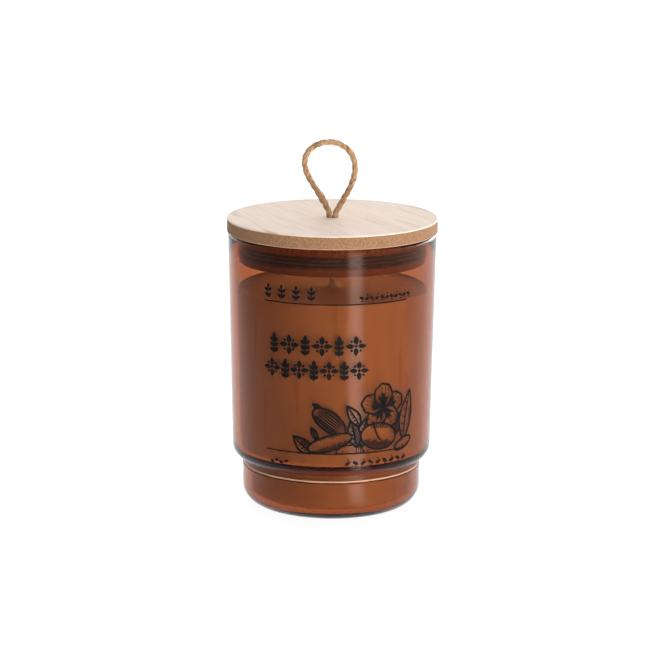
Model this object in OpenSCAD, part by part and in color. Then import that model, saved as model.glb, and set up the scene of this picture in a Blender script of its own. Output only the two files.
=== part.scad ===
// Lidded candle jar: an amber glass jar with a stepped foot, poured with wax round a cotton wick,
// closed by a veneered board lid that carries a plug, a silicone seal and a jute pull loop.
// Millimetres. Z is up, the jar stands on z = 0 on its own axis, and its printed face looks towards -Y.

/* [Glass jar] */
// Outside diameter of the glass at the rim
rim_d = 79.4; // [76:0.1:79.6]
// Outside diameter of the body just above the shoulder
body_d = 76; // [75.6:0.1:77]
// Outside diameter of the foot, a true cylinder
foot_d = 68.2; // [67.4:0.1:68.4]
// Height of the glass, from the table to the rim
jar_h = 105.8; // [105:0.1:120]
// Height at which the shoulder's outer curve starts
shoulder_z = 23.2; // [21:0.1:25]
// Radius of the shoulder's outer curve
shoulder_r = 4.8; // [4.5:0.1:6]
// Radius of the foot's lower edge
foot_edge_r = 7.6; // [6:0.1:8]
// Thickness of the glass wall at the rim
wall = 2.9; // [2.4:0.1:3.2]
// Thickness of the glass wall round the foot
foot_wall = 3; // [3:0.1:4]
// Height of the inside floor
floor_z = 3.4; // [3.4:0.1:6]
// Rise of the hollow under the base, at its middle
punt_rise = 1.5; // [0.5:0.1:2]

/* [Print] */
// Height of the upper printed rule
upper_rule_z = 84.9; // [70:0.1:90]
// Height of the lower printed rule
lower_rule_z = 27.8; // [25:0.1:40]
// Width of a printed line
rule_w = 0.55; // [0.3:0.05:1]
// Thickness of the ink film
ink_t = 0.08; // [0.05:0.01:0.15]
// Angle round the jar that the rules span
rule_span = 85; // [60:1:110]
// Angle from -Y, towards +X, of the middle of the print
print_turn = 3.5; // [-15:0.5:15]

/* [Wax and wick] */
// Height of the wax surface
wax_z = 84.3; // [60:0.1:85]
// Diameter of the braided wick
wick_d = 2.4; // [1.5:0.1:3]
// Length of wick that stands out of the wax
wick_out = 7; // [5:0.5:7]
// Diameter of the metal wick tab
tab_d = 20; // [12:1:24]

/* [Lid] */
// Diameter of the lid
lid_d = 80; // [79.8:0.1:84]
// Thickness of the fibreboard between its two faces
core_t = 4.4; // [3:0.1:8]
// Thickness of the veneer on top
veneer_t = 0.5; // [0.4:0.1:1]
// Thickness of the balancing sheet under the fibreboard
backing_t = 0.3; // [0.3:0.1:0.6]
// Diameter of the plug under the lid
plug_d = 70.8; // [68:0.1:71]
// Depth of the plug under the lid
plug_h = 11; // [10:0.5:12]
// Diameter of the hole for the cord
cord_hole_d = 5; // [4.8:0.1:6]

/* [Pull loop] */
// Diameter of the jute cord
cord_d = 2.2; // [1.6:0.1:2.2]

/* [Hidden] */
$fn = 96;

// Glass
rim_r = rim_d / 2;
body_r = body_d / 2;
foot_r = foot_d / 2;
lip_r = wall / 2;                       // the rim is a full round
lip_z = jar_h - lip_r;
draft = (rim_r - body_r) / (jar_h - shoulder_z);
neck_fillet_r = 0.3;                    // soft inner corner between the shoulder and the foot
punt_r = 24;                            // radius of the hollow under the base
punt_sphere_r = (punt_r * punt_r + punt_rise * punt_rise) / (2 * punt_rise);
foot_bore_r = foot_r - foot_wall;
floor_edge_r = 4;                       // curve between the floor and the foot's inside wall
ledge_z = shoulder_z - 1.8;             // inside ledge over the foot
ledge_corner_r = 3;                     // curve between the ledge and the body's inside wall
ledge_nose_r = 0.5;                     // rounded edge of the ledge, towards the axis
over = 1;                               // how far a cut runs past the face that it opens

// Wick tab: a pressed tinplate disc with a crimped neck, on a round foam sticker
sticker_t = 0.6;
sticker_d = tab_d - 2;
tab_t = 0.4;
tab_neck_h = 6;
tab_neck_wall = 0.5;
tab_z = floor_z + sticker_t;
wick_r = wick_d / 2;
wick_top_z = wax_z + wick_out;
meniscus_r = 1.6;                       // the wax creeps up the wick in a small cone

// Lid stack, which hangs a hair over the rim so that the two bodies never bite
seat_gap = 0.05;
backing_z = jar_h + seat_gap;
core_z = backing_z + backing_t;
veneer_z = core_z + core_t;
lid_top_z = veneer_z + veneer_t;
lid_r = lid_d / 2;
arris = 0.2;                            // broken edge of each face sheet
cord_hole_r = cord_hole_d / 2;

// Plug, with a groove for the seal and a pocket for the knot
plug_z = backing_z - plug_h;
plug_r = plug_d / 2;
plug_bevel = 0.8;
pocket_d = 14;
pocket_h = 7.5;
groove_low_z = plug_z + 2.8;
groove_h = 4.6;
groove_r = plug_r - 1.6;
running_gap = 0.05;                     // the plug turns inside its seal
seal_low_z = groove_low_z + running_gap;
seal_h = groove_h - 2 * running_gap;
seal_in_r = groove_r + running_gap;
seal_band_r = plug_r - 0.1;
lip_clear = 0.12;                       // the lips stop just short of the glass
seal_lips = 3;
lip_pitch = seal_h / seal_lips;

// Cord: the loop's ends are balls that turn on the tops of the two tails in the hole
cord_r = cord_d / 2;
leg_x = 1.2;                            // the two legs stand side by side
tails_top_z = lid_top_z + 0.15;
ball_gap = 0.05;
pivot_z = tails_top_z + ball_gap + cord_r;
knot_r = 4.6;
knot_h = 5.2;
knot_edge_r = 2.4;
knot_top_z = plug_z + pocket_h - 0.3;
tail_ends_z = plug_z + 0.4;
cord_sides = 8;

// Rings that round the loop's two ends off, as angles below the level of the pivot
END_ANGLES = [75, 50, 25];

// Centreline of the loop as x, y and height over the pivot, from the left leg to the right one
LOOP_ROUTE = [
    [-1.2, 0, 0], [-2.6, 0.1, 3.4], [-4.7, 0.3, 7], [-6.9, 0.5, 10.2], [-8.8, 0.6, 13.4],
    [-10.2, 0.5, 16.7], [-10.6, 0.3, 19.8], [-9.8, 0.1, 22.8], [-7.7, -0.1, 25.3], [-4.7, -0.3, 26.9],
    [-1.4, -0.4, 27.4], [1.8, -0.5, 27], [4.8, -0.5, 25.4], [7.1, -0.4, 22.8], [8.3, -0.3, 19.4],
    [8.4, -0.2, 16], [7.5, -0.1, 12.2], [5.9, 0, 8.7], [4, 0, 5.3], [2.4, 0, 2.4], [1.2, 0, 0]
];

// Radius of the outer wall at a height on the tapered body
function outer_r(z) = body_r + draft * (z - shoulder_z);

// Radius of the inner wall at a height on the tapered body
function inner_r(z) = outer_r(z) - wall;

// ---------------------------------------------------------------- glass profiles, in r and z

// Everything inside the glass's outer surface, up to where the lip's round starts
module outer_profile() {
    arc_x = body_r - shoulder_r;
    reach = shoulder_r + neck_fillet_r;
    fillet_x = foot_r + neck_fillet_r;
    fillet_z = shoulder_z - sqrt(reach * reach - pow(fillet_x - arc_x, 2));
    touch = [
        arc_x + (fillet_x - arc_x) * shoulder_r / reach,
        shoulder_z + (fillet_z - shoulder_z) * shoulder_r / reach
    ];
    // body
    polygon([[0, shoulder_z], [body_r, shoulder_z], [outer_r(lip_z), lip_z], [0, lip_z]]);
    // shoulder
    intersection() {
        translate([arc_x, shoulder_z]) circle(r = shoulder_r);
        translate([0, shoulder_z - shoulder_r]) square([body_r, shoulder_r]);
    }
    translate([0, shoulder_z - shoulder_r]) square([arc_x, shoulder_r]);
    // fillet under the shoulder
    difference() {
        polygon([[arc_x, fillet_z], [fillet_x, fillet_z], touch, [arc_x, shoulder_z - shoulder_r + 0.5]]);
        translate([fillet_x, fillet_z]) circle(r = neck_fillet_r);
    }
    // foot
    translate([0, foot_edge_r]) square([foot_r, shoulder_z - shoulder_r + 0.5 - foot_edge_r]);
    square([foot_r - foot_edge_r, foot_edge_r]);
    intersection() {
        translate([foot_r - foot_edge_r, foot_edge_r]) circle(r = foot_edge_r);
        square([foot_r, foot_edge_r]);
    }
}

// The hollow inside the jar, from the floor up to a given height
module cavity_profile(top_z) {
    ledge_r = inner_r(ledge_z + ledge_corner_r);
    // body
    polygon([
        [0, ledge_z + ledge_corner_r], [ledge_r, ledge_z + ledge_corner_r],
        [inner_r(top_z), top_z], [0, top_z]
    ]);
    translate([0, ledge_z]) square([ledge_r - ledge_corner_r, ledge_corner_r]);
    intersection() {
        translate([ledge_r - ledge_corner_r, ledge_z + ledge_corner_r]) circle(r = ledge_corner_r);
        translate([0, ledge_z]) square([ledge_r, ledge_corner_r]);
    }
    // ledge nose, rounded
    difference() {
        translate([0, ledge_z - ledge_nose_r]) square([foot_bore_r + ledge_nose_r, ledge_nose_r]);
        translate([foot_bore_r + ledge_nose_r, ledge_z - ledge_nose_r]) circle(r = ledge_nose_r);
    }
    // foot
    translate([0, floor_z + floor_edge_r])
        square([foot_bore_r, ledge_z - ledge_nose_r - floor_z - floor_edge_r]);
    translate([0, floor_z]) square([foot_bore_r - floor_edge_r, floor_edge_r]);
    intersection() {
        translate([foot_bore_r - floor_edge_r, floor_z + floor_edge_r]) circle(r = floor_edge_r);
        translate([0, floor_z]) square([foot_bore_r, floor_edge_r]);
    }
}

// ---------------------------------------------------------------- jar and its print

module glass_jar() {
    color([0.55, 0.22, 0.08, 0.6])
        rotate_extrude() {
            difference() {
                outer_profile();
                cavity_profile(lip_z + over);
                translate([0, punt_rise - punt_sphere_r]) circle(r = punt_sphere_r, $fn = 720);
            }
            translate([outer_r(lip_z) - lip_r, lip_z]) circle(r = lip_r);
        }
}

// One ink line that follows the tapered wall across the printed face
module printed_rule(z) {
    rotate([0, 0, -90 - rule_span / 2 + print_turn])
        rotate_extrude(angle = rule_span)
            polygon([
                [outer_r(z), z], [outer_r(z) + ink_t, z],
                [outer_r(z + rule_w) + ink_t, z + rule_w], [outer_r(z + rule_w), z + rule_w]
            ]);
}

module printed_rules() {
    color([0.09, 0.08, 0.08]) {
        printed_rule(upper_rule_z);
        printed_rule(lower_rule_z);
    }
}

// ---------------------------------------------------------------- wax, wick and tab

// Outline of the pressed tab: a flat disc with a neck that grips the wick
module tab_profile() {
    square([tab_d / 2, tab_t]);
    square([wick_r + tab_neck_wall, tab_neck_h]);
}

module wax_fill() {
    color([0.93, 0.86, 0.74])
        rotate_extrude()
            difference() {
                union() {
                    cavity_profile(wax_z);
                    polygon([
                        [0, wax_z], [wick_r + meniscus_r, wax_z],
                        [wick_r, wax_z + meniscus_r], [0, wax_z + meniscus_r]
                    ]);
                }
                square([sticker_d / 2, tab_z]);
                translate([0, tab_z]) tab_profile();
                square([wick_r, wick_top_z]);
            }
}

module wick() {
    color([0.95, 0.93, 0.86])
        translate([0, 0, tab_z + tab_t]) cylinder(r = wick_r, h = wick_top_z - tab_z - tab_t);
}

module wick_tab() {
    color([0.78, 0.78, 0.8])
        rotate_extrude()
            difference() {
                translate([0, tab_z]) tab_profile();
                translate([0, tab_z + tab_t]) square([wick_r, tab_neck_h]);
            }
}

module tab_sticker() {
    color([0.97, 0.97, 0.95])
        translate([0, 0, floor_z]) cylinder(d = sticker_d, h = sticker_t);
}

// ---------------------------------------------------------------- lid

// A round face sheet with one broken edge, on its upper face
module face_sheet(thickness) {
    rotate_extrude()
        polygon([
            [cord_hole_r, 0], [lid_r, 0], [lid_r, thickness - arris],
            [lid_r - arris, thickness], [cord_hole_r, thickness]
        ]);
}

module lid_veneer() {
    color([0.93, 0.86, 0.78])
        translate([0, 0, veneer_z]) face_sheet(veneer_t);
}

module lid_backing() {
    color([0.76, 0.6, 0.46])
        translate([0, 0, core_z]) mirror([0, 0, 1]) face_sheet(backing_t);
}

module lid_core() {
    color([0.68, 0.48, 0.34])
        difference() {
            translate([0, 0, core_z]) cylinder(r = lid_r, h = core_t);
            translate([0, 0, core_z - over]) cylinder(r = cord_hole_r, h = core_t + 2 * over);
        }
}

module lid_plug() {
    color([0.66, 0.47, 0.33])
        rotate_extrude()
            difference() {
                polygon([
                    [0, plug_z], [plug_r - plug_bevel, plug_z], [plug_r, plug_z + plug_bevel],
                    [plug_r, backing_z], [0, backing_z]
                ]);
                translate([groove_r, groove_low_z]) square([plug_r, groove_h]);
                translate([0, plug_z - over]) square([pocket_d / 2, pocket_h + over]);
                translate([0, plug_z]) square([cord_hole_r, plug_h + over]);
            }
}

// One flexible lip of the seal, pointing outwards and a little up
module seal_lip(z) {
    tip_r = inner_r(seal_low_z) - lip_clear;
    polygon([
        [seal_band_r - 0.3, z + 0.15], [tip_r, z + 0.75],
        [tip_r, z + 1], [seal_band_r - 0.3, z + 1.05]
    ]);
}

module lid_seal() {
    color([0.9, 0.9, 0.88, 0.8])
        rotate_extrude() {
            translate([seal_in_r, seal_low_z]) square([seal_band_r - seal_in_r, seal_h]);
            for (i = [0:seal_lips - 1]) seal_lip(seal_low_z + i * lip_pitch);
        }
}

// ---------------------------------------------------------------- jute cord

// The two tails run down the hole to an overhand knot in the plug's pocket, and on to their cut ends
module cord_knot() {
    color([0.76, 0.56, 0.33]) {
        for (side = [-1, 1])
            translate([side * leg_x, 0, tail_ends_z]) cylinder(r = cord_r, h = tails_top_z - tail_ends_z);
        translate([0, 0, knot_top_z - knot_h])
            rotate_extrude() {
                square([knot_r - knot_edge_r, knot_h]);
                translate([0, knot_edge_r]) square([knot_r, knot_h - 2 * knot_edge_r]);
                for (z = [knot_edge_r, knot_h - knot_edge_r])
                    intersection() {
                        translate([knot_r - knot_edge_r, z]) circle(r = knot_edge_r);
                        square([knot_r, knot_h]);
                    }
            }
    }
}

// The loop's whole route over the pivot, with a rounded end under each leg, as points and their radii
function under(leg, angles) = [for (a = angles) leg - [0, 0, cord_r * sin(a)]];
loop_end = len(LOOP_ROUTE) - 1;
loop_points = concat(
    under(LOOP_ROUTE[0], END_ANGLES), LOOP_ROUTE, under(LOOP_ROUTE[loop_end], reversed(END_ANGLES))
);
end_radii = [for (a = END_ANGLES) cord_r * cos(a)];
loop_radii = concat(end_radii, [for (p = LOOP_ROUTE) cord_r], reversed(end_radii));

function reversed(list) = [for (i = [len(list) - 1:-1:0]) list[i]];
function unit(v) = v / norm(v);

// Direction of a route at point i, along the chord through its neighbours
function along(route, i) = unit(route[min(i + 1, len(route) - 1)] - route[max(i - 1, 0)]);

// One ring of a tube: its corners start from the side that faces -Y, since the route stays near that plane
function ring(route, i, r) =
    let (t = along(route, i), v = unit(cross(t, [0, 1, 0])), u = cross(v, t))
    [for (a = [0:360 / cord_sides:359]) route[i] + r * (cos(a) * u + sin(a) * v)];

// A closed tube swept along a route, with a radius for each of its points
module tube(route, radii) {
    rings = len(route);
    last = (rings - 1) * cord_sides;
    polyhedron(
        points = [for (i = [0:rings - 1]) each ring(route, i, radii[i])],
        faces = [
            [for (k = [0:cord_sides - 1]) k],
            for (i = [0:rings - 2], k = [0:cord_sides - 1])
                let (a = i * cord_sides + k, b = i * cord_sides + (k + 1) % cord_sides)
                [a, a + cord_sides, b + cord_sides, b],
            [for (k = [cord_sides - 1:-1:0]) last + k]
        ]
    );
}

module cord_loop() {
    color([0.78, 0.58, 0.35])
        translate([0, 0, pivot_z]) tube(loop_points, loop_radii);
}

glass_jar();
printed_rules();
wax_fill();
wick();
wick_tab();
tab_sticker();
lid_seal();
lid_veneer();
lid_core();
lid_backing();
lid_plug();
cord_knot();
cord_loop();
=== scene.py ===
import math
import random

import bmesh
import bpy
from mathutils import Matrix, Vector


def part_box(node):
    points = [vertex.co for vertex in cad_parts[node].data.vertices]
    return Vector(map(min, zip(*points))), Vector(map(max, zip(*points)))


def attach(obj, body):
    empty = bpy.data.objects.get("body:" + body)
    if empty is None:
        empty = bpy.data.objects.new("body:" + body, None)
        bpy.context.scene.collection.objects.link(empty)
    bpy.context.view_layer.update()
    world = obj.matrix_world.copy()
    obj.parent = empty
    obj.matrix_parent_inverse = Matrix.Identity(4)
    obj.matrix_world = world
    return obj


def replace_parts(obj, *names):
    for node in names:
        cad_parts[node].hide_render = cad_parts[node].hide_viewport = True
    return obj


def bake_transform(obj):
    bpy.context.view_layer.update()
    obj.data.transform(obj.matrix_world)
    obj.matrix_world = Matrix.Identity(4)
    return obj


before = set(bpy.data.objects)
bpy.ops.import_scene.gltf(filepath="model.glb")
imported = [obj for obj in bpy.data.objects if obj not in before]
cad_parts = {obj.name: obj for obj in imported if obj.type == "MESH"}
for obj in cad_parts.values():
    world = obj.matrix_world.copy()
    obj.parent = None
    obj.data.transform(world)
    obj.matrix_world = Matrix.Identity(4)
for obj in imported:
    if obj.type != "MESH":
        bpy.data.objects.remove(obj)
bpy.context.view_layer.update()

# Sizes are in millimetres unless a name ends in _M; every mesh is scaled by MM as it is made.
MM = 0.001


def low(name):
    """Lowest corner of a CAD node, in millimetres."""
    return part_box(name)[0] / MM


def high(name):
    """Highest corner of a CAD node, in millimetres."""
    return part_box(name)[1] / MM


# Outer glass
JAR_H = high("glass_jar").z
RIM_R = 39.7
BODY_R, SHOULDER_Z, SHOULDER_R = 38.0, 23.2, 4.8
FOOT_R, FOOT_EDGE_R, NECK_FILLET = 34.1, 7.6, 0.3
PUNT_R, PUNT_RISE = 24.0, 1.5           # the shallow hollow under the base
WALL = 2.9
LIP_R = WALL / 2
LIP_Z = JAR_H - LIP_R
DRAFT = (RIM_R - BODY_R) / (JAR_H - SHOULDER_Z)

# Inner glass
FLOOR_Z, FLOOR_EDGE_R = 3.4, 4.0
FOOT_BORE_R = FOOT_R - 3.0
LEDGE_Z, LEDGE_CORNER_R, LEDGE_NOSE_R = SHOULDER_Z - 1.8, 3.0, 0.5

# How strongly a metre of the glass absorbs light, and the colour that it spares
GLASS_DENSITY, GLASS_COLOR = 700.0, (0.793, 0.507, 0.207)

# Bead at the mould's joint round the foot, which reaches a little under and over its crest
SEAM_Z, SEAM_H = 15.9, 0.07
SEAM_UNDER, SEAM_OVER = 0.6, 0.5

# Print: how far the ink's face and its back stand off the glass, and both rules' start, end and height
INK_LIFT, INK_ROOT = 0.06, 0.005
RULES = [(-26.2, 29.4, 85.2), (-26.0, 30.3, 28.1)]

# Wax and wick
WAX_Z = 84.3
WICK_R = high("wick").x
WICK_LOW, WICK_TOP = low("wick").z, high("wick").z
WICK_PITCH, WICK_STRAND_R = 5.2, 0.54   # height of one full turn of the braid, and a strand
AIR = 0.05                              # air between the wax and the glass

# Lid
GRAIN_TURN = math.radians(66)           # turns the veneer's grain onto X
LID_TOP = high("lid_veneer").z
PLUG_LOW, PLUG_R = low("lid_plug").z, high("lid_plug").x
SEAL_LOW, SEAL_HIGH, SEAL_R = low("lid_seal").z, high("lid_seal").z, high("lid_seal").x

# Jute cord
CORD_R = 1.1
CORD_PITCH = 9.3                        # length of one full turn of its three strands
LEG_X = 1.2                             # the two legs stand side by side in the hole
PIVOT_Z = LID_TOP + 0.2 + CORD_R
KNOT_LOW, KNOT_MID = low("cord_knot").z, PLUG_LOW + 4.6

# The knot winds along a ring of this radius, and swings this far in and out, and up and down
KNOT_RING_R, KNOT_SWING, KNOT_RISE = 2.3, 1.2, 1.35

# Centreline of the right tail as x, y and height over the knot's lowest point, downwards
TAIL_ROUTE = [(1.0, 0.2, 3.8), (1.7, 0.5, 2.2), (2.9, 0.9, 0.75)]

# Centreline of the loop as x, y and height over the pivot, from the left leg to the right one
LOOP_ROUTE = [
    (-1.2, 0, 0), (-2.6, 0.1, 3.4), (-4.7, 0.3, 7), (-6.9, 0.5, 10.2), (-8.8, 0.6, 13.4),
    (-10.2, 0.5, 16.7), (-10.6, 0.3, 19.8), (-9.8, 0.1, 22.8), (-7.7, -0.1, 25.3), (-4.7, -0.3, 26.9),
    (-1.4, -0.4, 27.4), (1.8, -0.5, 27), (4.8, -0.5, 25.4), (7.1, -0.4, 22.8), (8.3, -0.3, 19.4),
    (8.4, -0.2, 16), (7.5, -0.1, 12.2), (5.9, 0, 8.7), (4, 0, 5.3), (2.4, 0, 2.4), (1.2, 0, 0)
]


def outer_r(z):
    """Radius of the outer wall at a height on the tapered body or on the shoulder's round."""
    if z < SHOULDER_Z:
        return BODY_R - SHOULDER_R + math.sqrt(SHOULDER_R ** 2 - (SHOULDER_Z - z) ** 2)
    return BODY_R + DRAFT * (z - SHOULDER_Z)


def inner_r(z):
    """Radius of the inner wall at a height on the tapered body."""
    return outer_r(z) - WALL


# ---------------------------------------------------------------- mesh helpers

def arc(center_r, center_z, radius, start, end, steps):
    """Points on a circular arc in the r, z plane, at angles in degrees, both ends included."""
    angles = [math.radians(start + (end - start) * i / steps) for i in range(steps + 1)]
    return [(center_r + radius * math.cos(a), center_z + radius * math.sin(a)) for a in angles]


def finish_mesh(name, model, sharp):
    """A Blender mesh from a bmesh in millimetres, shaded smooth but for its sharp edges."""
    bmesh.ops.scale(model, vec=(MM, MM, MM), verts=model.verts)
    bmesh.ops.recalc_face_normals(model, faces=model.faces)
    mesh = bpy.data.meshes.new(name)
    model.to_mesh(mesh)
    model.free()
    mesh.shade_smooth()
    mesh.set_sharp_from_angle(angle=math.radians(sharp))
    return mesh


def make_object(name, mesh, material, body=None):
    """An object of one material, which rides on a body if one is given."""
    piece = bpy.data.objects.new(name, mesh)
    bpy.context.collection.objects.link(piece)
    mesh.materials.append(material)
    if body:
        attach(piece, body)
    return piece


def lathe(name, profile, segments=192, closed=False, sharp=38):
    """A mesh turned about Z from points (r, z); a point on the axis becomes a pole."""
    model = bmesh.new()
    turns = [2 * math.pi * k / segments for k in range(segments)]
    rings = []
    for r, z in profile:
        if r < 1e-6:
            rings.append([model.verts.new((0, 0, z))])
        else:
            rings.append([model.verts.new((r * math.cos(a), r * math.sin(a), z)) for a in turns])
    pairs = list(zip(rings, rings[1:]))
    if closed:
        pairs.append((rings[-1], rings[0]))
    for lower, upper in pairs:
        for k in range(segments):
            n = (k + 1) % segments
            corners = [
                lower[k % len(lower)], lower[n % len(lower)],
                upper[n % len(upper)], upper[k % len(upper)]
            ]
            unique = list(dict.fromkeys(corners))
            if len(unique) > 2:
                model.faces.new(unique)
    return finish_mesh(name, model, sharp)


def resample(route, step):
    """Points a step apart on the smooth curve through a route's points."""
    route = [Vector(p) for p in route]
    fine = []
    for i in range(len(route) - 1):
        a, b, c, d = (route[min(max(k, 0), len(route) - 1)] for k in (i - 1, i, i + 1, i + 2))
        for j in range(24):
            t = j / 24
            fine.append(0.5 * (
                2 * b + (c - a) * t + (2 * a - 5 * b + 4 * c - d) * t ** 2
                + (3 * b - a - 3 * c + d) * t ** 3
            ))
    fine.append(route[-1])
    points = [fine[0]]
    left = step
    for a, b in zip(fine, fine[1:]):
        span = (b - a).length
        while span >= left:
            a = a.lerp(b, left / span)
            points.append(a.copy())
            span = (b - a).length
            left = step
        left -= span
    return points


def route_length(points):
    """Length along a list of points."""
    return sum((b - a).length for a, b in zip(points, points[1:]))


def carried_frames(points):
    """(tangent, side, up) at each point, carried along the curve without twist."""
    frames = []
    side = None
    for i in range(len(points)):
        tangent = (points[min(i + 1, len(points) - 1)] - points[max(i - 1, 0)]).normalized()
        if side is None:
            side = tangent.cross(Vector((0, 1, 0)))
            if side.length < 0.1:
                side = tangent.cross(Vector((1, 0, 0)))
        side = (side - tangent * side.dot(tangent)).normalized()
        frames.append((tangent, side, tangent.cross(side)))
    return frames


def add_tube(model, points, ring_radius, sides):
    """Adds a closed tube: ring_radius(i, angle) is its radius at point i and an angle round it."""
    uv = model.loops.layers.uv.verify()
    rings = []
    for i, (point, (tangent, side, up)) in enumerate(zip(points, carried_frames(points))):
        ring = []
        for k in range(sides):
            angle = 2 * math.pi * k / sides
            r = ring_radius(i, angle)
            ring.append(model.verts.new(point + (side * math.cos(angle) + up * math.sin(angle)) * r))
        rings.append(ring)
    step = route_length(points) / (len(points) - 1)
    for i, (lower, upper) in enumerate(zip(rings, rings[1:])):
        for k in range(sides):
            n = (k + 1) % sides
            face = model.faces.new((lower[k], lower[n], upper[n], upper[k]))
            corners = ((k, i), (k + 1, i), (k + 1, i + 1), (k, i + 1))
            for loop, (around, along) in zip(face.loops, corners):
                loop[uv].uv = (around / sides, along * step)
    model.faces.new(rings[0])
    model.faces.new(rings[-1])


# ---------------------------------------------------------------- material helpers

def new_material(name):
    """A new material with its node tree and its Principled shader."""
    material = bpy.data.materials.new(name)
    material.use_nodes = True
    tree = material.node_tree
    return material, tree, tree.nodes["Principled BSDF"]


def node(tree, kind, links=None, **values):
    """Adds a shader node: values are its settings or its inputs' numbers, links feed its inputs."""
    made = tree.nodes.new("ShaderNode" + kind)
    for key, value in values.items():
        if hasattr(made, key):
            setattr(made, key, value)
    for key, value in values.items():
        if not hasattr(made, key):
            made.inputs[key.replace("_", " ")].default_value = value
    for key, socket in (links or {}).items():
        tree.links.new(socket, made.inputs[key])
    return made


def math_node(tree, operation, *terms):
    """Output of a Math node whose terms are numbers or sockets."""
    made = tree.nodes.new("ShaderNodeMath")
    made.operation = operation
    for slot, term in zip(made.inputs, terms):
        if isinstance(term, (int, float)):
            slot.default_value = term
        else:
            tree.links.new(term, slot)
    return made.outputs[0]


def weighted(tree, first, second, share):
    """Output of a sum of two sockets, of which the second has a share and the first has the rest."""
    rest = math_node(tree, "MULTIPLY", first, 1 - share)
    return math_node(tree, "ADD", rest, math_node(tree, "MULTIPLY", second, share))


def tint(tree, share, color, other):
    """Output of a mix from one colour socket to another colour, which is a socket or (r, g, b)."""
    made = node(tree, "Mix", {"Factor": share}, data_type="RGBA")
    tree.links.new(color, made.inputs[6])
    if isinstance(other, tuple):
        made.inputs[7].default_value = (*other, 1)
    else:
        tree.links.new(other, made.inputs[7])
    return made.outputs[2]


def ramp(tree, value, *stops):
    """Output of a colour ramp over a socket, from (position, (r, g, b)) stops."""
    made = tree.nodes.new("ShaderNodeValToRGB")
    tree.links.new(value, made.inputs["Fac"])
    made.color_ramp.elements[0].position = stops[0][0]
    made.color_ramp.elements[0].color = (*stops[0][1], 1)
    made.color_ramp.elements[1].position = stops[-1][0]
    made.color_ramp.elements[1].color = (*stops[-1][1], 1)
    for position, color in stops[1:-1]:
        made.color_ramp.elements.new(position).color = (*color, 1)
    return made.outputs["Color"]


def mapped(tree, turn=0.0, scale=(1, 1, 1)):
    """Object coordinates turned about Z and then scaled."""
    where = tree.nodes.new("ShaderNodeTexCoord").outputs["Object"]
    turned = node(tree, "VectorRotate", {"Vector": where}, rotation_type="Z_AXIS", Angle=turn)
    made = node(tree, "Mapping", {"Vector": turned.outputs["Vector"]})
    made.inputs["Scale"].default_value = scale
    return made.outputs["Vector"]


def noise(tree, vector, scale, detail=3.0, roughness=0.5):
    """Value of a noise texture at a vector."""
    made = node(tree, "TexNoise", {"Vector": vector}, Scale=scale, Detail=detail, Roughness=roughness)
    return made.outputs["Fac"]


def bump(tree, shader, height, strength, distance_mm):
    """Bumps a shader's normal by a height socket."""
    made = node(tree, "Bump", {"Height": height}, Strength=strength, Distance=distance_mm * MM)
    tree.links.new(made.outputs["Normal"], shader.inputs["Normal"])


def textured(name, heights, stops, roughness, bump_mm, strength=0.5, specular=0.5):
    """A material whose colour, roughness and bump come from one pattern, made by heights(tree)."""
    material, tree, shader = new_material(name)
    height = heights(tree)
    tree.links.new(ramp(tree, height, *stops), shader.inputs["Base Color"])
    rough = node(tree, "MapRange", {"Value": height}, To_Min=roughness[0], To_Max=roughness[1])
    tree.links.new(rough.outputs["Result"], shader.inputs["Roughness"])
    shader.inputs["Specular IOR Level"].default_value = specular
    bump(tree, shader, height, strength, bump_mm)
    return material


# ---------------------------------------------------------------- camera, light and floor

CAMERA_AT_M = (-0.00262, -1.05, 0.30157)
CAMERA_DOWN, CAMERA_ROLL = 12.49, 0.29  # degrees under the horizontal, and round the line of sight
LENS = 155.6

# World light low round the horizon and high up, and how many times brighter it is behind the jar
LOW_LIGHT, HIGH_LIGHT, BACK_LIGHT = 2.95, 0.1, 3.1

# Floor light: all over, far to the left, behind the jar, and in the strip that the glass mirrors
FLOOR_GLOW, LEFT_GLOW, BACK_GLOW, STRIP_GLOW = 0.94, 0.35, 0.1, 7.0
STRIP_TURN = 25                         # azimuth of the strip, from -Y towards +X
CLEAR_M, LIT_M = 0.036, 0.075           # the strip starts clear of the foot
SLANT = 0.13                            # turns the edge of the fade to the left away from the Y axis
TABLE_REACH_M = 5.0

# Lamps: name, place, what it faces, size, all in metres, and power in watts
LAMPS = [
    ("key_right", (1.0, -0.7, 0.5), (0, 0, 0.06), (0.8, 0.9), 0.6),
    ("overhead", (0, 0.3, 1.3), (0, 0, 0.05), (1.2, 1.2), 7.5),
    ("low_front", (0.45, -1.3, 0.42), (0, 0, 0.09), (0.5, 0.4), 3.4)
]


def make_camera():
    """The camera of the product shot: a long lens from a little above the lid."""
    data = bpy.data.cameras.new("camera")
    data.lens = LENS
    data.sensor_width = 36.0
    data.clip_end = 20.0
    camera = bpy.data.objects.new("camera", data)
    camera.location = CAMERA_AT_M
    tilt = Matrix.Rotation(math.radians(90 - CAMERA_DOWN), 3, "X")
    roll = Matrix.Rotation(math.radians(CAMERA_ROLL), 3, "Z")
    camera.rotation_euler = (tilt @ roll).to_euler()
    bpy.context.collection.objects.link(camera)
    bpy.context.scene.camera = camera


def softbox(name, at, aim, size, power):
    """A rectangular lamp at a point in metres, facing another."""
    data = bpy.data.lights.new(name, "AREA")
    data.shape = "RECTANGLE"
    data.size, data.size_y = size
    data.energy = power
    lamp = bpy.data.objects.new(name, data)
    lamp.location = at
    lamp.rotation_euler = (Vector(aim) - Vector(at)).to_track_quat("-Z", "Y").to_euler()
    lamp.visible_camera = False
    bpy.context.collection.objects.link(lamp)


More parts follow.
